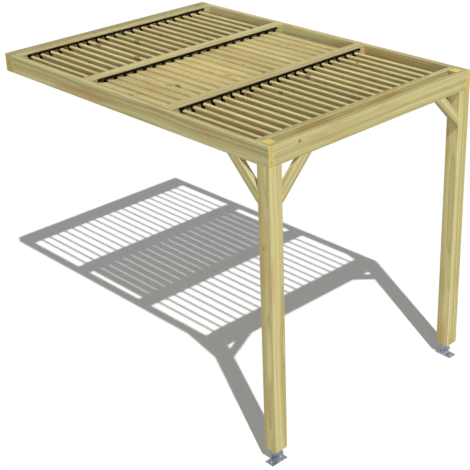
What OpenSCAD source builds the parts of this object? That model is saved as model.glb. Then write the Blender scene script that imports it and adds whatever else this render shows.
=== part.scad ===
// Wall-fixed timber pergola with three bays of roof slats laid in toothed racks.
// Origin: centre of the ledger's back face, on the wall. +Z is up, the pergola reaches out along -Y.

/* [Overall] */
// Width along the wall, over the side beams
span_w = 2120; // [1800:10:2600]
// Reach from the wall to the front face of the header
reach_d = 3040; // [2600:10:3600]
// Height from the ground to the top of the beams
top_h = 2488; // [2200:1:2800]

/* [Beams] */
// Height of every beam and rail
beam_h = 145; // [140:1:180]
// Thickness of the header and of the side beams
beam_t = 45; // [38:1:55]
// Thickness of the ledger on the wall
ledger_t = 95; // [70:1:120]
// Thickness of the rack rails
rail_t = 48; // [38:1:60]
// Distance from the header's front face to the first rack rail
front_gap = 120; // [118:1:150]

/* [Posts] */
// Side of the square posts
post_w = 115; // [100:1:117]
// Clear height of the post above the ground
post_lift = 117; // [90:1:150]

/* [Knee braces] */
// Length of the brace's long edge, measured along the beam
brace_leg = 283; // [240:1:340]
// Width of the brace across its face
brace_w = 76; // [60:1:100]
// Thickness of the brace
brace_t = 45; // [35:1:50]

/* [Racks] */
// Distance between neighbouring slats
pitch = 94.5; // [90:0.5:95]
// Distance of the rack's top below the top of the beams
rack_drop = 11; // [8:1:16]
// Height of the rack's top bar
bar_h = 13; // [10:1:16]
// Depth of the rack's top bar
bar_d = 16; // [12:1:20]
// Reach of the seats under the slat ends, out of the rail
seat_d = 34; // [28:1:40]
// Thickness of a seat
seat_t = 10; // [8:0.5:12]
// Thickness of the lip at the seat's lower end
lip_t = 5; // [4:0.5:7]
// Height of that lip
lip_h = 10; // [8:0.5:14]
// Distance of the seat under an opened slat from the slat's head
seat_in = 12; // [8:1:16]
// Length of that seat
seat_l = 22; // [18:1:30]
// Thickness of the flat legs behind the opened slats
plate_t = 5; // [4:0.5:7]
// Width of those flat legs
plate_w = 20; // [16:1:22]
// Depth of the legs that carry the closed seats
leg_t = 14; // [10:0.5:15]
// Width of those legs at the top bar
leg_w = 22; // [18:1:26]
// Width of those legs at the seat
leg_foot_w = 8; // [6:1:14]
// Distance of those legs from the lip
leg_in = 8; // [4:1:12]
// Least distance between the rack's ends and the side beams
rack_margin = 50; // [40:1:60]

/* [Slats] */
// Thickness of a slat
slat_t = 22; // [18:0.5:24]
// Slope of the opened slats
open_deg = 72; // [66:1:76]
// Slope of the closed slats
shut_deg = 12.5; // [10:0.5:14]
// Gap between neighbouring closed slats, seen from above
slat_gap = 7; // [6:0.5:10]
// Gap between the opened slats and the top bar
open_gap = 1; // [0.5:0.25:3]
// Gap between the closed slats and the top bar
shut_gap = 6; // [4:0.5:12]
// Distance of the first opened slat from the rack's end
open_in = 19; // [16:1:24]
// Length of the first closed slat past the rack's end
shut_out = 12; // [6:1:16]
// Length of a closed slat's head that overhangs its seat
shut_head = 24; // [22:1:34]
// Gap between a slat's end and the legs
end_gap = 2; // [1:0.5:4]

/* [Post feet] */
// Length of the foot's base plate
foot_l = 150; // [130:1:170]
// Width of the foot's base plate and of its upright plate
foot_w = 80; // [60:1:90]
// Thickness of the foot's plates
foot_t = 6; // [5:0.5:8]
// Depth of the upright plate inside the post
blade_in = 150; // [100:1:180]
// Diameter of the holes in the base plate
foot_hole_d = 13; // [11:0.5:15]
// Distance between the holes in the base plate
foot_hole_gap = 100; // [90:1:110]

/* [Wall fixing] */
// Diameter of the bolt holes in the ledger
wall_hole_d = 13; // [11:0.5:15]
// Distance between the inner pair of bolt holes in the ledger
wall_gap_in = 500; // [400:10:600]
// Distance between the outer pair of bolt holes in the ledger
wall_gap_out = 1500; // [1300:10:1700]

/* [Hidden] */
half_w = span_w / 2;
half_h = beam_h / 2;
top_z = half_h;
low_z = -half_h;
front_y = -reach_d;
ground_z = top_z - top_h;
post_low = ground_z + post_lift;
tongue = post_w - beam_t;
bay_n = 3;
bay = (reach_d - ledger_t - front_gap) / bay_n;
inner_w = span_w - 2 * beam_t;
foot_quarter = 90;
slat_n = floor((inner_w - 2 * rack_margin) / pitch);
slat_w = (pitch - slat_gap - slat_t * sin(shut_deg)) / cos(shut_deg);
slat_l = bay - 2 * rail_t - 2 * leg_t - 2 * end_gap;
rack_l = slat_n * pitch;
rack_top = top_z - rack_drop;
bar_low = rack_top - bar_h;
open_x = -rack_l / 2 + open_in;
open_z = bar_low - open_gap - slat_t * cos(open_deg);
shut_x = -rack_l / 2 - shut_out;
shut_z = bar_low - shut_gap - slat_t * cos(shut_deg);
brace_in = brace_leg - brace_w * sqrt(2);
cut = 1;
bore_fn = 48;

// Position in Y of the start of bay k
function bay_y(k) = front_y + front_gap + k * bay;

module board(x0, x1, y0, y1) {
    translate([x0, y0, low_z])
        cube([x1 - x0, y1 - y0, beam_h]);
}

module ledger() {
    color("darkkhaki")
    difference() {
        board(-half_w, half_w, -ledger_t, 0);
        for (gap = [wall_gap_in, wall_gap_out], s = [-1, 1])
            translate([s * gap / 2, cut, 0])
                rotate([90, 0, 0])
                    cylinder(h = ledger_t + 2 * cut, d = wall_hole_d, $fn = bore_fn);
    }
}

module side_beam_left() {
    color("darkkhaki") board(-half_w, -half_w + beam_t, front_y, -ledger_t);
}

module side_beam_right() {
    color("darkkhaki") board(half_w - beam_t, half_w, front_y, -ledger_t);
}

module front_header() {
    color("khaki") board(-inner_w / 2, inner_w / 2, front_y, front_y + beam_t);
}

// Rack rail whose front face stands at y
module rail(y) {
    color("khaki") board(-inner_w / 2, inner_w / 2, y, y + rail_t);
}

module rail_front() { rail(bay_y(0)); }
module rail_mid_a() { rail(bay_y(1) - rail_t); }
module rail_mid_b() { rail(bay_y(1)); }
module rail_mid_c() { rail(bay_y(2) - rail_t); }
module rail_mid_d() { rail(bay_y(2)); }
module rail_wall() { rail(bay_y(3) - rail_t); }

// Post at the left corner: the top is cut back to a tongue beside the beams
module corner_post(foot_turn) {
    color("khaki")
    difference() {
        union() {
            translate([-half_w, front_y, post_low])
                cube([post_w, post_w, low_z - post_low]);
            translate([-half_w + beam_t, front_y + beam_t, low_z - cut])
                cube([tongue, tongue, beam_h + cut]);
        }
        on_left_post(foot_turn) blade();
    }
}

module post_left() { corner_post(0); }
module post_right() { mirror([1, 0, 0]) corner_post(foot_quarter); }

// Places a foot piece on the ground under the left post
module on_left_post(foot_turn) {
    translate([-half_w + post_w / 2, front_y + post_w / 2, ground_z])
        rotate([0, 0, foot_turn])
            children();
}

// Upright plate of a foot, let into a slot in the post
module blade() {
    translate([-foot_t / 2, -foot_w / 2, 0])
        cube([foot_t, foot_w, post_lift + blade_in]);
}

module foot() {
    color("lightsteelblue")
    union() {
        blade();
        difference() {
            translate([-foot_l / 2, -foot_w / 2, 0])
                cube([foot_l, foot_w, foot_t]);
            for (s = [-1, 1])
                translate([s * foot_hole_gap / 2, 0, -cut])
                    cylinder(h = foot_t + 2 * cut, d = foot_hole_d, $fn = bore_fn);
        }
    }
}

module foot_left() { on_left_post(0) foot(); }
module foot_right() { mirror([1, 0, 0]) on_left_post(foot_quarter) foot(); }

// Knee brace profile with its right angle at the origin, running to +X and down
module brace_profile() {
    polygon([[0, -brace_leg], [brace_leg, 0], [brace_in, 0], [0, -brace_in]]);
}

module brace_front() {
    color("khaki")
    translate([-half_w + post_w, front_y + brace_t, low_z])
        rotate([90, 0, 0])
            linear_extrude(height = brace_t) brace_profile();
}

module brace_side() {
    color("darkkhaki")
    translate([-half_w, front_y + post_w, low_z])
        rotate([90, 0, 90])
            linear_extrude(height = brace_t) brace_profile();
}

module brace_front_left() { brace_front(); }
module brace_front_right() { mirror([1, 0, 0]) brace_front(); }
module brace_side_left() { brace_side(); }
module brace_side_right() { mirror([1, 0, 0]) brace_side(); }

// Top bar of a rack on a rail face at y = 0
module rack_bar() {
    translate([-rack_l / 2, -bar_d, bar_low])
        cube([rack_l, bar_d, bar_h]);
}

// Lip across a slat's lower edge, from y0 beside the slat's under face
module lip_profile(y0) {
    translate([slat_w, y0])
        square([lip_t, lip_h - y0]);
}

// Distance from an opened slat's head to the top bar, at distance y from the slat's under face
function open_head(y) = (open_z + y * cos(open_deg) - bar_low - cut) / sin(open_deg);

// Flat leg behind an opened slat's end, from the top bar down to the lip
module plate_profile() {
    y0 = -seat_t / 2;
    y1 = y0 + plate_w;
    polygon([
        [open_head(y0), y0],
        [slat_w + lip_t, y0],
        [slat_w + lip_t, y1],
        [open_head(y1), y1]
    ]);
}

// Tooth under an opened slat's head, with a sloping nose
module tooth_profile() {
    polygon([
        [seat_in, 0],
        [seat_in + seat_t / 2, -seat_t],
        [seat_in + seat_l, -seat_t],
        [seat_in + seat_l, 0]
    ]);
}

// Rack for opened slats: each slat leans on a tooth and stands on a lip
module open_rack() {
    color("dimgray")
    union() {
        rack_bar();
        for (i = [0 : slat_n - 1])
            translate([open_x + i * pitch, 0, open_z])
                rotate([90, open_deg, 0]) {
                    linear_extrude(height = plate_t) plate_profile();
                    linear_extrude(height = seat_d) tooth_profile();
                    linear_extrude(height = seat_d) lip_profile(-seat_t / 2);
                }
    }
}

// Tapered leg of a closed seat, with its origin at the slat's head
module leg_profile() {
    leg_x = slat_w - leg_in - leg_foot_w;
    leg_up = bar_low - shut_z + cut;
    polygon([
        [leg_x, leg_up],
        [leg_x + leg_w, leg_up],
        seat_point(slat_w - leg_in),
        seat_point(leg_x)
    ]);
}

// Point in the middle of a closed seat's thickness, at distance d from the slat's head
function seat_point(d) = [
    d * cos(shut_deg) - seat_t / 2 * sin(shut_deg),
    -d * sin(shut_deg) - seat_t / 2 * cos(shut_deg)
];

// Rack for closed slats: each slat lies on a gently sloping seat that hangs on a leg
module shut_rack() {
    color("dimgray")
    union() {
        rack_bar();
        for (i = [0 : slat_n - 1])
            translate([shut_x + i * pitch, 0, shut_z]) {
                rotate([90, 0, 0])
                    linear_extrude(height = leg_t) leg_profile();
                rotate([90, shut_deg, 0])
                    linear_extrude(height = seat_d) {
                        translate([shut_head, -seat_t])
                            square([slat_w + lip_t - shut_head, seat_t]);
                        lip_profile(-seat_t / 2);
                    }
            }
    }
}

// Places a rack on the wall side of bay k
module at_far_rail(k) {
    translate([0, bay_y(k + 1) - rail_t, 0]) children();
}

// Places a rack on the front side of bay k, turned to face the wall
module at_near_rail(k) {
    translate([0, bay_y(k) + rail_t, 0])
        mirror([0, 1, 0]) children();
}

module rack_front_near() { at_near_rail(0) open_rack(); }
module rack_front_far() { at_far_rail(0) open_rack(); }
module rack_middle_near() { at_near_rail(1) shut_rack(); }
module rack_middle_far() { at_far_rail(1) shut_rack(); }
module rack_wall_near() { at_near_rail(2) open_rack(); }
module rack_wall_far() { at_far_rail(2) open_rack(); }

// One row of slats in bay k, sloping down to +X by deg, the first one's head at x, z
module slat_row(k, deg, x, z) {
    color("khaki")
    for (i = [0 : slat_n - 1])
        translate([x + i * pitch, bay_y(k) + rail_t + leg_t + end_gap, z])
            rotate([0, deg, 0])
                cube([slat_w, slat_l, slat_t]);
}

module slats_front() { slat_row(0, open_deg, open_x, open_z); }
module slats_middle() { slat_row(1, shut_deg, shut_x, shut_z); }
module slats_wall() { slat_row(2, open_deg, open_x, open_z); }

ledger();
side_beam_left();
side_beam_right();
front_header();
rail_front();
rail_mid_a();
rail_mid_b();
rail_mid_c();
rail_mid_d();
rail_wall();
post_left();
post_right();
brace_front_left();
brace_front_right();
brace_side_left();
brace_side_right();
foot_left();
foot_right();
rack_front_near();
rack_front_far();
rack_middle_near();
rack_middle_far();
rack_wall_near();
rack_wall_far();
slats_front();
slats_middle();
slats_wall();
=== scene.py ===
import math
import random

import bmesh
import bpy
from mathutils import Euler, Matrix, Vector


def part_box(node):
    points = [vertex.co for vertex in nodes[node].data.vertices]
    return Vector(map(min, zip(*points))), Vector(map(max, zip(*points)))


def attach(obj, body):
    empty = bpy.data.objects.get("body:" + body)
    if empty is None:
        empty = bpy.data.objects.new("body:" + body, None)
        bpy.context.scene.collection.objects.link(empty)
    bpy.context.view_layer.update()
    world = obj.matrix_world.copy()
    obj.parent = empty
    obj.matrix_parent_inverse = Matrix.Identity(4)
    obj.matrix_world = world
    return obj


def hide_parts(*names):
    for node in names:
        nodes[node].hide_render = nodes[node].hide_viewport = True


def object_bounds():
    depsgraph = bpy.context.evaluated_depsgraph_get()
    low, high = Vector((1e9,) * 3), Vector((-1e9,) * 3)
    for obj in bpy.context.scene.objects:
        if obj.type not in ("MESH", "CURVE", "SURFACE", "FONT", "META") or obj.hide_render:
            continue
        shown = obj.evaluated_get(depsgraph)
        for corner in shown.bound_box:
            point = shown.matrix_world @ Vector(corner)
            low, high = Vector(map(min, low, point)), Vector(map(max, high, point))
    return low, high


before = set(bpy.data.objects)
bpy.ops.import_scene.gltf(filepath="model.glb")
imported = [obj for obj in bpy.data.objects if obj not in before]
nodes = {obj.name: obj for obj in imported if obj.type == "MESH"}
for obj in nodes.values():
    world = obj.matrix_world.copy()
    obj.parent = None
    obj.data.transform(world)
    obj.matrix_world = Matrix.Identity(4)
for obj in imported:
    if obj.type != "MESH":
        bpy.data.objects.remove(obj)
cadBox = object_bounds()
print("frame loaded:", len(nodes), "nodes")


def nodesNamed(start):
    return [name for name in nodes if name.startswith(start)]


def addObject(name, data):
    thing = bpy.data.objects.new(name, data)
    bpy.context.scene.collection.objects.link(thing)
    return thing


# The camera stands out beyond the front left corner and looks down on the roof
photoView = {
    "place": (-5.686, -7.846, 2.7456),  # metres
    "down": 25.16,  # degrees below level
    "turn": 43.752,  # degrees from straight at the wall towards the right
    "roll": -1.459,  # degrees
    "lens": 86.94,  # millimetres
    "sensor": 36.0,  # millimetres wide
    "shift": (-0.069, -0.045),  # the picture is a crop beside the lens axis
}


def makeCamera(view):
    data = bpy.data.cameras.new("photoCamera")
    data.sensor_width = view["sensor"]
    data.lens = view["lens"]
    data.shift_x, data.shift_y = view["shift"]
    camera = addObject("photoCamera", data)
    aim = Euler((math.radians(90 - view["down"]), 0, math.radians(-view["turn"]))).to_matrix()
    camera.rotation_euler = (aim @ Matrix.Rotation(math.radians(view["roll"]), 3, "Z")).to_euler()
    camera.location = view["place"]
    bpy.context.scene.camera = camera


makeCamera(photoView)
print("camera placed")


def addNode(tree, kind, sockets=None, **settings):
    node = tree.nodes.new(kind)
    for key, value in settings.items():
        setattr(node, key, value)
    for socket, source in (sockets or {}).items():
        if isinstance(source, bpy.types.NodeSocket):
            tree.links.new(source, node.inputs[socket])
        else:
            node.inputs[socket].default_value = source
    return node


def maths(tree, operation, *values):
    return addNode(tree, "ShaderNodeMath", dict(enumerate(values)), operation=operation).outputs[0]


def vectors(tree, operation, *values):
    node = addNode(tree, "ShaderNodeVectorMath", dict(enumerate(values)), operation=operation)
    return node.outputs["Value" if operation == "LENGTH" else "Vector"]


def remap(tree, value, source, target, curve="LINEAR"):
    sockets = dict(enumerate((value, *source, *target)))
    return addNode(tree, "ShaderNodeMapRange", sockets, interpolation_type=curve).outputs[0]


def linear(hexColour):
    channels = [int(hexColour[i:i + 2], 16) / 255 for i in (1, 3, 5)]
    curve = [c / 12.92 if c <= 0.04045 else ((c + 0.055) / 1.055) ** 2.4 for c in channels]
    return (*curve, 1.0)


def mixTint(tree, share, under, tint):
    sockets = {0: share, 6: under, 7: linear(tint)}
    return addNode(tree, "ShaderNodeMix", sockets, data_type="RGBA").outputs[2]


def stretchedNoise(tree, place, cell, detail):
    scaled = vectors(tree, "MULTIPLY", place, tuple(1 / side for side in cell))
    return addNode(tree, "ShaderNodeTexNoise", {"Vector": scaled, "Scale": 1.0, "Detail": detail})


def evenNoise(tree, place, size, detail):
    sockets = {"Vector": place, "Scale": 1 / size, "Detail": detail}
    return addNode(tree, "ShaderNodeTexNoise", sockets).outputs[0]


def addBump(tree, shader, height, strength, depth):
    bump = addNode(tree, "ShaderNodeBump", {"Height": height, "Strength": strength, "Distance": depth})
    tree.links.new(bump.outputs[0], shader.inputs["Normal"])


def newMaterial(name):
    material = bpy.data.materials.new(name)
    material.use_nodes = True
    return material, material.node_tree, material.node_tree.nodes["Principled BSDF"]


noiseSpan = (0.3, 0.7)  # most values of a noise texture lie between these

# Sizes in metres. The year rings of real pine are 3 to 5 mm wide: they are drawn
# coarser here, so that they show at the size of the picture.
pineLook = {
    "sapwood": "#d3c98e",
    "tan": "#c5a469",
    "olive": "#9f955b",
    "lateWood": "#917f4a",
    "endTint": "#dcbc58",
    "knot": "#a5834c",
    "knotRim": "#8d6b3c",
    "arris": "#ded8b2",
    "ring": 0.009,
    "ringCurve": 2.4,  # higher keeps the dark wood to the end of each ring
    "yearBand": 0.026,
    "streak": (1.3, 0.010, 0.010),
    "patch": (0.60, 0.15, 0.15),
    "wander": (1.1, 0.17, 0.17),
    "pithSway": (0, 0.05, 0.05),
    "knotCell": (0.42, 0.12, 0.12),
    "knotSize": (0.006, 0.017),
    "knotShare": 0.22,  # of the cells
    "knotStretch": (0.6, 1, 1),  # below 1 makes a knot longer along the grain
    "knotFade": (0.7, 1.15),  # in knot radii
    "knotRimHalf": 0.16,  # in knot radii
    "knotPush": 0.020,
    "knotPushReach": (0.4, 4.5),  # in knot radii
    "arrisWidth": 0.005,
    "patchLimits": (0.50, 0.72),
    "bandLimits": (0.38, 0.66),
    "streakLimits": (0.50, 0.75),
    "patchDepth": 0.85,
    "bandDepth": 0.75,
    "streakDepth": 0.5,
    "ringDepth": 0.42,
    "endDepth": 0.7,
    "roughness": (0.58, 0.76),
    "ringRelief": 0.6,  # beside the relief of the streaks
    "bumpStrength": 0.5,
    "bumpDepth": 0.0008,
}

# The slats are paler, with more knots and a fainter grain
slatLook = {
    **pineLook,
    "sapwood": "#dbcb8d",
    "tan": "#cda766",
    "patch": (0.30, 0.14, 0.14),
    "knotCell": (0.26, 0.10, 0.10),
    "knotSize": (0.010, 0.022),
    "knotShare": 0.4,
    "patchDepth": 0.6,
    "bandDepth": 0.42,
    "streakDepth": 0.28,
    "ringDepth": 0.24,
}


def treatedPine(name, look):
    # Planed pine, pressure treated: straw yellow with a green cast, darker late wood in
    # each year ring, tan heartwood patches, brown knots and thirsty yellow end grain.
    material, tree, shader = newMaterial(name)
    board = addNode(tree, "ShaderNodeAttribute", attribute_name="grainSpace").outputs["Vector"]
    half = addNode(tree, "ShaderNodeAttribute", attribute_name="boardHalf").outputs["Vector"]
    seed = addNode(tree, "ShaderNodeAttribute", attribute_name="boardSeed").outputs["Vector"]
    ends = addNode(tree, "ShaderNodeAttribute", attribute_name="endGrain").outputs["Fac"]
    toneAndPaintedLight = addNode(tree, "ShaderNodeAttribute", attribute_name="boardTone").outputs["Fac"]
    log = vectors(tree, "ADD", board, seed)

    # Knots: one ball in some of the cells, a little longer along the grain
    cells = vectors(tree, "MULTIPLY", log, tuple(1 / side for side in look["knotCell"]))
    knots = addNode(tree, "ShaderNodeTexVoronoi", {"Vector": cells, "Scale": 1.0}).outputs
    heart = vectors(tree, "MULTIPLY", knots["Position"], look["knotCell"])
    away = vectors(tree, "SUBTRACT", log, heart)
    reach = vectors(tree, "LENGTH", vectors(tree, "MULTIPLY", away, look["knotStretch"]))
    chance = addNode(tree, "ShaderNodeSeparateColor", {0: knots["Color"]}).outputs
    grown = maths(tree, "LESS_THAN", chance[0], look["knotShare"])
    inKnots = maths(tree, "DIVIDE", reach, remap(tree, chance[1], (0, 1), look["knotSize"]))
    core = remap(tree, inKnots, look["knotFade"], (1, 0), "SMOOTHSTEP")
    rim = maths(tree, "COMPARE", inKnots, 1.0, look["knotRimHalf"])
    push = remap(tree, inKnots, look["knotPushReach"], (look["knotPush"], 0), "SMOOTHSTEP")
    core, rim, push = [maths(tree, "MULTIPLY", part, grown) for part in (core, rim, push)]

    # Year rings round a wandering pith, pushed aside by the knots
    wander = stretchedNoise(tree, log, look["wander"], detail=2.0).outputs["Color"]
    bent = vectors(tree, "MULTIPLY_ADD", wander, look["pithSway"], log)
    radius = vectors(tree, "LENGTH", vectors(tree, "MULTIPLY", bent, (0, 1, 1)))
    pushed = maths(tree, "ADD", radius, push)
    within = maths(tree, "FRACT", maths(tree, "DIVIDE", pushed, look["ring"]))
    lateWood = maths(tree, "POWER", within, look["ringCurve"])
    years = maths(tree, "DIVIDE", pushed, look["yearBand"])
    bands = addNode(tree, "ShaderNodeTexNoise", {"W": years, "Scale": 1.0, "Detail": 1.0},
                    noise_dimensions="1D").outputs[0]

    # Fibre streaks and broad patches along the board
    streaks = stretchedNoise(tree, log, look["streak"], detail=3.0).outputs[0]
    patches = stretchedNoise(tree, log, look["patch"], detail=2.0).outputs[0]

    patchMask = remap(tree, patches, look["patchLimits"], (0, look["patchDepth"]), "SMOOTHSTEP")
    bandMask = remap(tree, bands, look["bandLimits"], (0, look["bandDepth"]))
    streakMask = remap(tree, streaks, look["streakLimits"], (0, look["streakDepth"]))
    ringMask = maths(tree, "MULTIPLY", lateWood, look["ringDepth"])
    endMask = maths(tree, "MULTIPLY", ends, look["endDepth"])
    colour = mixTint(tree, patchMask, linear(look["sapwood"]), look["tan"])
    for mask, tint in ((bandMask, "olive"), (ringMask, "lateWood"), (streakMask, "lateWood"),
                       (core, "knot"), (rim, "knotRim"), (endMask, "endTint")):
        colour = mixTint(tree, mask, colour, look[tint])

    # Rubbed arrises: the second smallest distance to the board's sides is the way to its edge
    inside = vectors(tree, "SUBTRACT", half, vectors(tree, "ABSOLUTE", board))
    side = addNode(tree, "ShaderNodeSeparateXYZ", {0: inside}).outputs
    pairs = [maths(tree, "MAXIMUM", side[a], side[b]) for a, b in ((0, 1), (1, 2), (0, 2))]
    toEdge = maths(tree, "MINIMUM", maths(tree, "MINIMUM", pairs[0], pairs[1]), pairs[2])
    rubbed = remap(tree, toEdge, (0, look["arrisWidth"]), (1, 0))
    colour = mixTint(tree, maths(tree, "MULTIPLY", rubbed, streaks), colour, look["arris"])
    # the tone lightens or darkens the whole board: its random tone, with painted light and painted shade on
    # some frame boards
    toned = addNode(tree, "ShaderNodeHueSaturation", {"Value": toneAndPaintedLight, "Color": colour})
    tree.links.new(toned.outputs[0], shader.inputs["Base Color"])

    rough = remap(tree, streaks, noiseSpan, look["roughness"])
    tree.links.new(rough, shader.inputs["Roughness"])
    relief = maths(tree, "MULTIPLY_ADD", lateWood, look["ringRelief"], streaks)
    addBump(tree, shader, relief, look["bumpStrength"], look["bumpDepth"])
    return material


plasticLook = {
    "black": "#060504",
    "dustAndTopLight": "#15130f",
    "dustAndTopLightShare": (0.05, 0.7),  # on upright faces and on top; on the tops it is partly a painted highlight
    "upward": (0.2, 1.0),  # height of the normal from which the dust and the painted top highlight stay, and where they are full
    "grit": 0.0012,  # metres: moulded grain, drawn coarser than the real 0.3 mm
    "cloud": 0.11,  # metres
    "roughness": (0.5, 0.68),
    "bumpStrength": 0.35,
    "bumpDepth": 0.0003,  # metres
    "ior": 1.49,
    "specular": 0.06,
}


def mouldedPlastic(name, look):
    # Black polypropylene with an eroded mould finish: matt, with a dull sheen and grey dust that also paints
    # the top faces lighter, as a painted highlight
    material, tree, shader = newMaterial(name)
    place = addNode(tree, "ShaderNodeTexCoord").outputs["Object"]
    grit = evenNoise(tree, place, look["grit"], detail=2.0)
    cloud = evenNoise(tree, place, look["cloud"], detail=3.0)
    normal = addNode(tree, "ShaderNodeNewGeometry").outputs["Normal"]
    facing = addNode(tree, "ShaderNodeSeparateXYZ", {0: normal}).outputs
    # grey dust on upward faces, which on the tops is partly a painted highlight
    dustAndTopLightMask = maths(tree, "MULTIPLY", remap(tree, facing[2], look["upward"], look["dustAndTopLightShare"]), cloud)
    colour = mixTint(tree, dustAndTopLightMask, linear(look["black"]), look["dustAndTopLight"])
    tree.links.new(colour, shader.inputs["Base Color"])
    rough = remap(tree, cloud, noiseSpan, look["roughness"])
    tree.links.new(rough, shader.inputs["Roughness"])
    addBump(tree, shader, grit, look["bumpStrength"], look["bumpDepth"])
    shader.inputs["IOR"].default_value = look["ior"]
    shader.inputs["Specular IOR Level"].default_value = look["specular"]
    return material


zincLook = {
    "bright": "#b2b7c5",
    "dull": "#7a7f8e",
    "stain": "#77746c",
    "stainLimits": (0.52, 0.75),
    "stainDepth": 0.6,
    "spangle": 0.010,  # metres: flower of zinc crystals, 8 to 12 mm across
    "cloud": 0.06,  # metres
    "roughness": (0.38, 0.62),
    "bumpStrength": 0.3,
    "bumpDepth": 0.0006,  # metres
    "metallic": 0.75,
}


def galvanisedSteel(name, look):
    # Hot-dip galvanised steel: blue-grey zinc flowers, some brighter, with dull grey stains
    material, tree, shader = newMaterial(name)
    place = addNode(tree, "ShaderNodeTexCoord").outputs["Object"]
    flowers = addNode(tree, "ShaderNodeTexVoronoi", {"Vector": place, "Scale": 1 / look["spangle"]})
    shade = addNode(tree, "ShaderNodeSeparateColor", {0: flowers.outputs["Color"]}).outputs
    cloud = evenNoise(tree, place, look["cloud"], detail=3.0)
    stained = remap(tree, cloud, look["stainLimits"], (0, look["stainDepth"]))
    colour = mixTint(tree, shade[0], linear(look["bright"]), look["dull"])
    colour = mixTint(tree, stained, colour, look["stain"])
    tree.links.new(colour, shader.inputs["Base Color"])
    rough = remap(tree, shade[1], (0, 1), look["roughness"])
    tree.links.new(rough, shader.inputs["Roughness"])
    addBump(tree, shader, cloud, look["bumpStrength"], look["bumpDepth"])
    shader.inputs["Metallic"].default_value = look["metallic"]
    return material


pine = treatedPine("pressureTreatedPine", pineLook)
slatPine = treatedPine("treatedPineSlats", slatLook)
blackPlastic = mouldedPlastic("blackPolypropylene", plasticLook)
zincSteel = galvanisedSteel("hotDipGalvanisedSteel", zincLook)
print("materials made")


def finishPiece(piece, slotName, *replaced):
    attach(piece, "root")
    if replaced:
        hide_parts(*replaced)


# Every board gets the direction of its grain and a random brightness of its own. The posts, front header,
# front rail and front braces are also painted lighter, as painted light on the front-facing boards, and the
# ledger is painted darker, as painted shade.
frameTimber = {
    "arris": 0.0025,  # metres taken off each edge by the planer
    "arrisSteps": 2,
    "samePoint": 1e-5,  # metres
    "flat": 1,  # degrees: faces that meet at less are joined
    "sharp": 30,  # degrees: edges that turn more are planed
    "endLimit": 0.6,  # cosine between a face's normal and the grain that makes it end grain
    "seed": 7,
    "logPlace": (5, 45),  # metres along the log
    "pithNear": 0.03,  # metres at most from a board's middle to the pith, with the heart inside
    "pithFar": 0.15,  # the same for other boards
    "toneSpread": (0.96, 1.04),
    "grain": {
        "ledger": (1, 0, 0), "front_header": (1, 0, 0), "rail_front": (1, 0, 0), "rail_wall": (1, 0, 0),
        "rail_mid_a": (1, 0, 0), "rail_mid_b": (1, 0, 0), "rail_mid_c": (1, 0, 0), "rail_mid_d": (1, 0, 0),
        "side_beam_left": (0, 1, 0), "side_beam_right": (0, 1, 0),
        "post_left": (0, 0, 1), "post_right": (0, 0, 1),
        "brace_front_left": (1, 0, 1), "brace_front_right": (-1, 0, 1),
        "brace_side_left": (0, 1, 1), "brace_side_right": (0, 1, 1),
    },
    # listed brightness factors: painted light on the front-facing boards and painted shade on the ledger
    "toneAndPaintedLight": {"ledger": 0.76, "front_header": 1.03, "rail_front": 1.08, "post_left": 1.14, "post_right": 1.14,
             "brace_front_left": 1.08, "brace_front_right": 1.08},
    "heartInside": ("post_left", "post_right", "ledger"),
}


def grainAxes(grain):
    along = Vector(grain).normalized()
    across = Vector((1, 0, 0)) if along.y else Vector((0, 1, 0))
    return along, across, along.cross(across)


def planeArrises(shape, settings):
    bmesh.ops.remove_doubles(shape, verts=shape.verts, dist=settings["samePoint"])
    bmesh.ops.dissolve_limit(shape, angle_limit=math.radians(settings["flat"]), verts=shape.verts,
                             edges=shape.edges)
    sharp = math.radians(settings["sharp"])
    arrises = [e for e in shape.edges if e.is_manifold and e.calc_face_angle() > sharp]
    bmesh.ops.bevel(shape, geom=arrises, offset=settings["arris"], segments=settings["arrisSteps"],
                    profile=0.5, affect="EDGES", clamp_overlap=True)


def boardFromNode(name, settings, dice):
    shape = bmesh.new()
    shape.from_mesh(nodes[name].data)
    space = shape.verts.layers.float_vector.new("grainSpace")
    halves = shape.verts.layers.float_vector.new("boardHalf")
    seeds = shape.verts.layers.float_vector.new("boardSeed")
    tonesAndPaintedLight = shape.verts.layers.float.new("boardTone")
    ends = shape.faces.layers.float.new("endGrain")
    planeArrises(shape, settings)
    low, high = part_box(name)
    centre = (low + high) / 2
    axes = grainAxes(settings["grain"][name])
    local = {v: Vector([(v.co - centre).dot(axis) for axis in axes]) for v in shape.verts}
    half = Vector([max(abs(p[i]) for p in local.values()) for i in range(3)])
    spread = settings["pithNear"] if name in settings["heartInside"] else settings["pithFar"]
    seed = Vector((dice.uniform(*settings["logPlace"]), dice.uniform(-spread, spread),
                   dice.uniform(-spread, spread)))
    # the listed painted light and painted shade, times the board's own random tone
    toneAndPaintedLight = settings["toneAndPaintedLight"].get(name, 1.0) * dice.uniform(*settings["toneSpread"])
    for vert in shape.verts:
        vert[space] = local[vert]
        vert[halves] = half
        vert[seeds] = seed
        vert[tonesAndPaintedLight] = toneAndPaintedLight
    for face in shape.faces:
        face[ends] = 1.0 if abs(face.normal.dot(axes[0])) > settings["endLimit"] else 0.0
    mesh = bpy.data.meshes.new("timber_" + name)
    shape.to_mesh(mesh)
    shape.free()
    mesh.materials.append(pine)
    finishPiece(addObject("timber_" + name, mesh), "treated_pine", name)


timberDice = random.Random(frameTimber["seed"])
for timberName in frameTimber["grain"]:
    boardFromNode(timberName, frameTimber, timberDice)
print("timber dressed:", len(frameTimber["grain"]), "boards")


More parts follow.
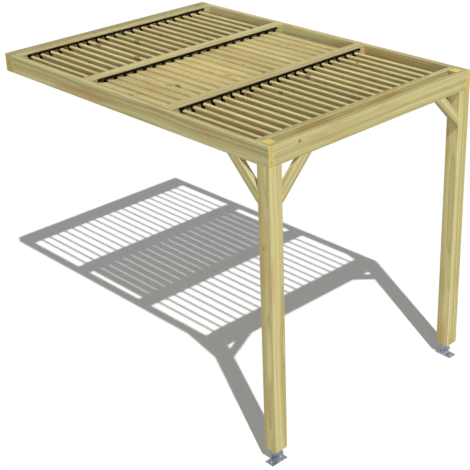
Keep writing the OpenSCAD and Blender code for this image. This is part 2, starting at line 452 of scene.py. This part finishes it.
def newTree(name, inputs):
    tree = bpy.data.node_groups.new(name, "GeometryNodeTree")
    tree.interface.new_socket("Geometry", in_out="INPUT", socket_type="NodeSocketGeometry")
    for label, kind in inputs.items():
        tree.interface.new_socket(label, in_out="INPUT", socket_type=kind)
    tree.interface.new_socket("Geometry", in_out="OUTPUT", socket_type="NodeSocketGeometry")
    return tree, tree.nodes.new("NodeGroupInput").outputs, tree.nodes.new("NodeGroupOutput").inputs


def storeAttribute(tree, geometry, name, value, kind, domain="POINT"):
    sockets = {"Geometry": geometry, "Name": name, "Value": value}
    return addNode(tree, "GeometryNodeStoreNamedAttribute", sockets, data_type=kind, domain=domain).outputs[0]


def readAttribute(tree, name, kind):
    return addNode(tree, "GeometryNodeInputNamedAttribute", {"Name": name}, data_type=kind).outputs[0]


def paintResult(tree, geometry, given, result):
    sockets = {"Geometry": geometry, "Material": given["Material"]}
    tree.links.new(addNode(tree, "GeometryNodeSetMaterial", sockets).outputs[0], result[0])


def growPiece(name, tree, values, seedMesh=None):
    piece = addObject(name, seedMesh or bpy.data.meshes.new(name))
    modifier = piece.modifiers.new("build", "NODES")
    modifier.node_group = tree
    identifiers = {s.name: s.identifier for s in tree.interface.items_tree if s.in_out == "INPUT"}
    for label, value in values.items():
        modifier[identifiers[label]] = value
    depsgraph = bpy.context.evaluated_depsgraph_get()
    mesh = bpy.data.meshes.new_from_object(piece.evaluated_get(depsgraph), preserve_all_data_layers=True,
                                           depsgraph=depsgraph)
    piece.modifiers.clear()
    piece.data = mesh
    mesh.name = name
    return piece


slatRows = {
    "count": 20,
    "thickness": 0.022,  # metres
    "arris": 0.0010,  # metres
    "arrisSteps": 2,
    "bow": 0.0007,  # metres that a board is bowed at its middle
    "bowSteps": 9,  # points along a board
    "tilt": {"slats_front": 72, "slats_middle": 12.5, "slats_wall": 72},  # degrees
    "settle": {"slats_middle": 1.2},  # degrees that closed boards lie flatter, resting on each other
    "endLimit": 0.9,  # cosine between a face's normal and the grain that makes it end grain
    "logPlace": ((5, -0.10, 0.04), (45, 0.10, 0.13)),  # metres along the log and off its pith, least and most
    "toneSpread": (0.92, 1.06),
}


def slatTree(settings):
    tree, given, result = newTree("slatRow", {
        "Count": "NodeSocketInt", "First": "NodeSocketVector", "Pitch": "NodeSocketFloat",
        "Tilt": "NodeSocketFloat", "Width": "NodeSocketFloat", "Thickness": "NodeSocketFloat",
        "Length": "NodeSocketFloat", "Arris": "NodeSocketFloat", "Bow": "NodeSocketFloat",
        "Seed": "NodeSocketInt", "Material": "NodeSocketMaterial"})

    # One board: a rounded outline drawn along the length
    outline = addNode(tree, "GeometryNodeCurvePrimitiveQuadrilateral",
                      {"Width": given["Width"], "Height": given["Thickness"]})
    eased = addNode(tree, "GeometryNodeFilletCurve",
                    {"Curve": outline.outputs[0], "Count": settings["arrisSteps"], "Radius": given["Arris"]},
                    mode="POLY")
    halfLength = maths(tree, "MULTIPLY", given["Length"], 0.5)
    start = addNode(tree, "ShaderNodeCombineXYZ", {1: maths(tree, "MULTIPLY", given["Length"], -0.5)})
    end = addNode(tree, "ShaderNodeCombineXYZ", {1: halfLength})
    path = addNode(tree, "GeometryNodeCurvePrimitiveLine", {"Start": start.outputs[0], "End": end.outputs[0]})
    steps = addNode(tree, "GeometryNodeResampleCurve",
                    {"Curve": path.outputs[0], "Count": settings["bowSteps"]})
    board = addNode(tree, "GeometryNodeCurveToMesh", {"Curve": steps.outputs[0],
                                                      "Profile Curve": eased.outputs[0], "Fill Caps": True})

    # What the wood finish reads, kept in the board's own axes: along, across and through
    position = addNode(tree, "GeometryNodeInputPosition").outputs[0]
    place = addNode(tree, "ShaderNodeSeparateXYZ", {0: position}).outputs
    local = addNode(tree, "ShaderNodeCombineXYZ", {0: place[1], 1: place[0], 2: place[2]}).outputs[0]
    board = storeAttribute(tree, board.outputs[0], "grainSpace", local, "FLOAT_VECTOR")
    halfWidth = maths(tree, "MULTIPLY", given["Width"], 0.5)
    halfThick = maths(tree, "MULTIPLY", given["Thickness"], 0.5)
    halves = addNode(tree, "ShaderNodeCombineXYZ", {0: halfLength, 1: halfWidth, 2: halfThick}).outputs[0]
    board = storeAttribute(tree, board, "boardHalf", halves, "FLOAT_VECTOR")
    normal = addNode(tree, "GeometryNodeInputNormal").outputs[0]
    facing = addNode(tree, "ShaderNodeSeparateXYZ", {0: normal}).outputs
    sawn = maths(tree, "GREATER_THAN", maths(tree, "ABSOLUTE", facing[1]), settings["endLimit"])
    board = storeAttribute(tree, board, "endGrain", sawn, "FLOAT", "FACE")

    # The row: each board has its own wood and tone
    step = addNode(tree, "ShaderNodeCombineXYZ", {0: given["Pitch"]}).outputs[0]
    row = addNode(tree, "GeometryNodeMeshLine",
                  {"Count": given["Count"], "Start Location": given["First"], "Offset": step}, mode="OFFSET")
    least, most = settings["logPlace"]
    wood = addNode(tree, "FunctionNodeRandomValue", {0: least, 1: most, "Seed": given["Seed"]},
                   data_type="FLOAT_VECTOR")
    row = storeAttribute(tree, row.outputs[0], "boardSeed", wood.outputs[0], "FLOAT_VECTOR")
    darkest, palest = settings["toneSpread"]
    toneAndPaintedLight = addNode(tree, "FunctionNodeRandomValue", {2: darkest, 3: palest, "Seed": given["Seed"]},
                   data_type="FLOAT")
    row = storeAttribute(tree, row, "boardTone", toneAndPaintedLight.outputs[1], "FLOAT")
    laid = addNode(tree, "ShaderNodeCombineXYZ", {1: given["Tilt"]}).outputs[0]
    boards = addNode(tree, "GeometryNodeInstanceOnPoints",
                     {"Points": row, "Instance": board, "Rotation": laid})
    whole = addNode(tree, "GeometryNodeRealizeInstances", {"Geometry": boards.outputs[0]})

    # A pale board bows up and a dark one down, most at its middle
    sway = remap(tree, readAttribute(tree, "boardTone", "FLOAT"), settings["toneSpread"], (-1, 1))
    space = readAttribute(tree, "grainSpace", "FLOAT_VECTOR")
    along = addNode(tree, "ShaderNodeSeparateXYZ", {0: space}).outputs[0]
    share = maths(tree, "DIVIDE", along, halfLength)
    crown = maths(tree, "SUBTRACT", 1.0, maths(tree, "MULTIPLY", share, share))
    lift = maths(tree, "MULTIPLY", maths(tree, "MULTIPLY", crown, given["Bow"]), sway)
    raised = addNode(tree, "ShaderNodeCombineXYZ", {2: lift}).outputs[0]
    bowed = addNode(tree, "GeometryNodeSetPosition", {"Geometry": whole.outputs[0], "Offset": raised})
    paintResult(tree, bowed.outputs[0], given, result)
    return tree


def laySlats(settings):
    tree = slatTree(settings)
    for number, (name, degrees) in enumerate(settings["tilt"].items()):
        low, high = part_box(name)
        tilt = math.radians(degrees)
        thick = settings["thickness"]
        width = (high.z - low.z - thick * math.cos(tilt)) / math.sin(tilt)
        span = width * math.cos(tilt) + thick * math.sin(tilt)
        laid = tilt - math.radians(settings["settle"].get(name, 0))
        piece = growPiece("row_" + name, tree, {
            "Count": settings["count"],
            "First": (low.x + span / 2, (low.y + high.y) / 2, (low.z + high.z) / 2),
            "Pitch": (high.x - low.x - span) / (settings["count"] - 1),
            "Tilt": laid, "Width": width, "Thickness": thick, "Length": high.y - low.y,
            "Arris": settings["arris"], "Bow": settings["bow"], "Seed": number, "Material": slatPine})
        finishPiece(piece, "pine_slats", name)


laySlats(slatRows)
print("slats laid")


def coatNode(name, material):
    nodes[name].data.materials.clear()
    nodes[name].data.materials.append(material)


for rackName in nodesNamed("rack_"):
    coatNode(rackName, blackPlastic)
for footName in nodesNamed("foot_"):
    coatNode(footName, zincSteel)
print("racks and feet finished")

# Countersunk screws with a six-lobed drive. Sizes in metres.
screws = {
    "radius": 0.0042,
    "rise": 0.0006,
    "recess": 0.0020,
    "skirt": 0.0010,
    "driveShares": (0.28, 0.36, 0.40),  # of the radius: floor, foot of the chamfer and mouth
    "lobeShares": (0.07, 0.09, 0.09),  # of the radius, at the same three rings
    "crownShare": 0.88,  # of the radius
    "chamferRise": 0.6,  # of the rise
    "rimRise": 0.3,  # of the rise
    "segments": 24,
    "lobes": 6,
    "pairGap": 0.072,
    "braceShares": (0.16, 0.84),  # of a brace's height
    "rackSize": 0.7,  # times the frame's screws
    "rackDepth": 0.016,  # from the rail to the face of a rack's bar
    "rackDrop": 0.0065,  # from a rack's top to the middle of its bar
    "rackPlaces": (-0.90, -0.45, 0.0, 0.45, 0.90),
    "bladeSize": 1.1,  # times the frame's screws
    "bladePlaces": ((-0.018, 0.050), (0.018, 0.110)),  # beside a post's middle and up from its lower end
    "seed": 3,
}


def screwHead(settings):
    rise = settings["rise"]
    heights = (-settings["recess"], rise * settings["chamferRise"], rise)
    rings = list(zip(settings["driveShares"], heights, settings["lobeShares"]))
    rings += [(settings["crownShare"], rise, 0), (1.0, rise * settings["rimRise"], 0),
              (1.0, -settings["skirt"], 0)]
    shape = bmesh.new()
    loops = []
    for share, height, lobe in rings:
        loop = []
        for step in range(settings["segments"]):
            angle = math.tau * step / settings["segments"]
            reach = settings["radius"] * (share + lobe * math.cos(settings["lobes"] * angle))
            loop.append(shape.verts.new((reach * math.cos(angle), reach * math.sin(angle), height)))
        loops.append(loop)
    for inner, outer in zip(loops, loops[1:]):
        for step in range(settings["segments"]):
            after = (step + 1) % settings["segments"]
            shape.faces.new((inner[step], outer[step], outer[after], inner[after]))
    shape.faces.new(loops[0])
    shape.faces.new(loops[-1][::-1])
    bmesh.ops.recalc_face_normals(shape, faces=shape.faces)
    mesh = bpy.data.meshes.new("screwHead")
    shape.to_mesh(mesh)
    shape.free()
    return addObject("screwHead", mesh)


# Each list below holds a screw's place, the way that it faces and its size
def cornerScrews(settings):
    places = []
    low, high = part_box("front_header")
    beamLow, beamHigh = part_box("side_beam_right")
    postLow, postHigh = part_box("post_right")
    level = (low.z + high.z) / 2
    pair = (level - settings["pairGap"] / 2, level + settings["pairGap"] / 2)
    tongue = beamLow.x - (postHigh.x - postLow.x - beamHigh.x + beamLow.x) / 2
    tongueY = low.y + beamHigh.x - tongue
    crossBoards = ["front_header"] + nodesNamed("rail_")
    boardLines = [sum(corner.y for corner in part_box(name)) / 2 for name in crossBoards]
    for side in (-1, 1):
        for z in pair:
            for y in boardLines + [tongueY]:
                places.append(((side * beamHigh.x, y, z), (side, 0, 0), 1.0))
            places.append(((side * tongue, low.y, z), (0, -1, 0), 1.0))
    return places


def braceScrews(settings):
    places = []
    for name in nodesNamed("brace_"):
        low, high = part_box(name)
        middle = (low + high) / 2
        for share in settings["braceShares"]:
            z = low.z + share * (high.z - low.z)
            if name.startswith("brace_side"):
                places.append(((middle.x, low.y + share * (high.y - low.y), z), (0, 1, -1), 1.0))
            else:
                side = 1 if middle.x < 0 else -1
                x = middle.x + side * (share - 0.5) * (high.x - low.x)
                places.append(((x, middle.y, z), (side, 0, -1), 1.0))
    return places


def rackScrews(settings):
    places = []
    for name in nodesNamed("rack_"):
        low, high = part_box(name)
        facing = -1 if name.endswith("far") else 1
        y = high.y - settings["rackDepth"] if facing < 0 else low.y + settings["rackDepth"]
        for x in settings["rackPlaces"]:
            places.append(((x, y, high.z - settings["rackDrop"]), (0, facing, 0), settings["rackSize"]))
    return places


def bladeScrews(settings):
    places = []
    for name in ("left", "right"):
        low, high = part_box("post_" + name)
        middle = (low + high) / 2
        footLow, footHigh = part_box("foot_" + name)
        alongX = footHigh.x - footLow.x > footHigh.y - footLow.y
        for side in (-1, 1):
            reach = side * (high.x - low.x) / 2
            for offset, lift in settings["bladePlaces"]:
                x, y = (reach, offset) if alongX else (offset, reach)
                facing = (side, 0, 0) if alongX else (0, side, 0)
                places.append(((middle.x + x, middle.y + y, low.z + lift), facing, settings["bladeSize"]))
    return places


def screwTree():
    tree, given, result = newTree("screwField", {
        "Head": "NodeSocketObject", "Seed": "NodeSocketInt", "Material": "NodeSocketMaterial"})
    head = addNode(tree, "GeometryNodeObjectInfo", {"Object": given["Head"], "As Instance": True})
    aim = readAttribute(tree, "aim", "FLOAT_VECTOR")
    size = readAttribute(tree, "size", "FLOAT")
    upright = addNode(tree, "FunctionNodeAlignRotationToVector", {"Vector": aim}, axis="Z")
    angle = addNode(tree, "FunctionNodeRandomValue", {2: 0.0, 3: math.tau, "Seed": given["Seed"]},
                    data_type="FLOAT")
    spin = addNode(tree, "FunctionNodeAxisAngleToRotation", {"Axis": (0, 0, 1), "Angle": angle.outputs[1]})
    driven = addNode(tree, "FunctionNodeRotateRotation",
                     {"Rotation": upright.outputs[0], "Rotate By": spin.outputs[0]}, rotation_space="LOCAL")
    heads = addNode(tree, "GeometryNodeInstanceOnPoints",
                    {"Points": given["Geometry"], "Instance": head.outputs["Geometry"],
                     "Rotation": driven.outputs[0], "Scale": size})
    whole = addNode(tree, "GeometryNodeRealizeInstances", {"Geometry": heads.outputs[0]})
    paintResult(tree, whole.outputs[0], given, result)
    return tree


def driveScrews(settings):
    places = cornerScrews(settings) + braceScrews(settings) + rackScrews(settings) + bladeScrews(settings)
    mesh = bpy.data.meshes.new("screwPlaces")
    mesh.from_pydata([place for place, aim, size in places], [], [])
    for name, kind in (("aim", "FLOAT_VECTOR"), ("size", "FLOAT")):
        mesh.attributes.new(name, kind, "POINT")
    for index, (place, aim, size) in enumerate(places):
        mesh.attributes["aim"].data[index].vector = aim
        mesh.attributes["size"].data[index].value = size
    head = screwHead(settings)
    piece = growPiece("frame_screws", screwTree(), {"Head": head, "Seed": settings["seed"],
                                                    "Material": zincSteel}, mesh)
    bpy.data.objects.remove(head)
    finishPiece(piece, "galvanised_steel")
    print("screws driven:", len(places))


driveScrews(screws)

# Fillet welds on both sides of the foot's upright plate, laid in overlapping scales. Sizes in metres.
welds = {
    "radius": 0.0048,
    "step": 0.0032,
    "margin": 0.003,
    "plate": 0.006,
    "beadShare": ((0.62, 0.88, 0.88), (0.74, 1.08, 1.08)),  # of the radius along and across, least and most
    "roundness": 3,  # subdivisions of a bead
    "seed": 5,
}


def weldTree(settings):
    tree, given, result = newTree("weldBead", {
        "Step": "NodeSocketFloat", "Radius": "NodeSocketFloat", "Seed": "NodeSocketInt",
        "Material": "NodeSocketMaterial"})
    lines = addNode(tree, "GeometryNodeMeshToCurve", {"Mesh": given["Geometry"]})
    steps = addNode(tree, "GeometryNodeResampleCurve", {"Curve": lines.outputs[0], "Length": given["Step"]},
                    mode="LENGTH")
    tangent = addNode(tree, "GeometryNodeInputTangent")
    turned = addNode(tree, "FunctionNodeAlignRotationToVector", {"Vector": tangent.outputs[0]}, axis="X")
    bead = addNode(tree, "GeometryNodeMeshIcoSphere",
                   {"Radius": given["Radius"], "Subdivisions": settings["roundness"]})
    least, most = settings["beadShare"]
    uneven = addNode(tree, "FunctionNodeRandomValue", {0: least, 1: most, "Seed": given["Seed"]},
                     data_type="FLOAT_VECTOR")
    beads = addNode(tree, "GeometryNodeInstanceOnPoints",
                    {"Points": steps.outputs[0], "Instance": bead.outputs[0], "Rotation": turned.outputs[0],
                     "Scale": uneven.outputs[0]})
    whole = addNode(tree, "GeometryNodeRealizeInstances", {"Geometry": beads.outputs[0]})
    smooth = addNode(tree, "GeometryNodeSetShadeSmooth", {0: whole.outputs[0]})
    paintResult(tree, smooth.outputs[0], given, result)
    return tree


def weldFeet(settings):
    tree = weldTree(settings)
    for name in ("foot_left", "foot_right"):
        low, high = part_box(name)
        middle = (low + high) / 2
        alongX = high.x - low.x > high.y - low.y
        reach = min(high.x - low.x, high.y - low.y) / 2 - settings["margin"] - settings["radius"]
        z = low.z + settings["plate"]
        points = []
        for side in (-1, 1):
            for end in (-1, 1):
                beside, along = side * settings["plate"] / 2, end * reach
                x, y = (beside, along) if alongX else (along, beside)
                points.append((middle.x + x, middle.y + y, z))
        mesh = bpy.data.meshes.new("weldLines")
        mesh.from_pydata(points, [(0, 1), (2, 3)], [])
        piece = growPiece("weld_" + name, tree, {"Step": settings["step"], "Radius": settings["radius"],
                                                 "Seed": settings["seed"], "Material": zincSteel}, mesh)
        finishPiece(piece, "galvanised_steel")


weldFeet(welds)
print("feet welded")

# A high key from the front left, with soft fill from the camera's side and from the sky
studioLight = {
    "keyPath": (0.268, 0.515, -0.814),
    "key": 2.88,  # watts per square metre
    "keyAngle": 0.6,  # degrees
    "fillPath": (0.64, 0.76, -0.04),
    "fill": 1.45,  # watts per square metre
    "fillAngle": 24.0,  # degrees
    "sky": 0.13,
    "floorGlow": 0.105,
    "floorGrey": (0.3, 0.3, 0.3, 1),  # what the floor throws back at the part
    "floorRoughness": 0.9,
    "floorSize": 60.0,  # metres
    "white": (1, 1, 1, 1),
}


def addSun(name, path, strength, angle):
    data = bpy.data.lights.new(name, "SUN")
    data.energy = strength
    data.angle = math.radians(angle)
    lamp = addObject(name, data)
    lamp.rotation_euler = Vector(path).to_track_quat("-Z", "Y").to_euler()


# White for the camera and in reflections, while the light that falls on the part stays lower
def seenDirectly(tree):
    ray = addNode(tree, "ShaderNodeLightPath").outputs
    shiny = maths(tree, "MAXIMUM", ray["Is Glossy Ray"], ray["Is Transmission Ray"])
    return maths(tree, "MAXIMUM", ray["Is Camera Ray"], shiny)


def makeSky(light):
    world = bpy.data.worlds.new("paleStudio")
    world.use_nodes = True
    bpy.context.scene.world = world
    tree = world.node_tree
    strength = remap(tree, seenDirectly(tree), (0, 1), (light["sky"], 1))
    tree.links.new(strength, tree.nodes["Background"].inputs["Strength"])
    tree.nodes["Background"].inputs["Color"].default_value = light["white"]


def makeFloor(light):
    material, tree, shader = newMaterial("paleFloor")
    shader.inputs["Roughness"].default_value = light["floorRoughness"]
    tint = addNode(tree, "ShaderNodeMix", {0: seenDirectly(tree), 6: light["floorGrey"], 7: light["white"]},
                   data_type="RGBA")
    tree.links.new(tint.outputs[2], shader.inputs["Base Color"])
    glow = maths(tree, "MULTIPLY", seenDirectly(tree), light["floorGlow"])
    shader.inputs["Emission Color"].default_value = light["white"]
    tree.links.new(glow, shader.inputs["Emission Strength"])
    side = light["floorSize"] / 2
    level = cadBox[0].z
    mesh = bpy.data.meshes.new("floor")
    mesh.from_pydata([(-side, -side, level), (side, -side, level), (side, side, level), (-side, side, level)],
                     [], [(0, 1, 2, 3)])
    mesh.materials.append(material)
    floor = addObject("floor", mesh)


addSun("keyLight", studioLight["keyPath"], studioLight["key"], studioLight["keyAngle"])
addSun("fillLight", studioLight["fillPath"], studioLight["fill"], studioLight["fillAngle"])
makeSky(studioLight)
makeFloor(studioLight)
bpy.context.scene.view_settings.view_transform = "Standard"
print("studio lit")
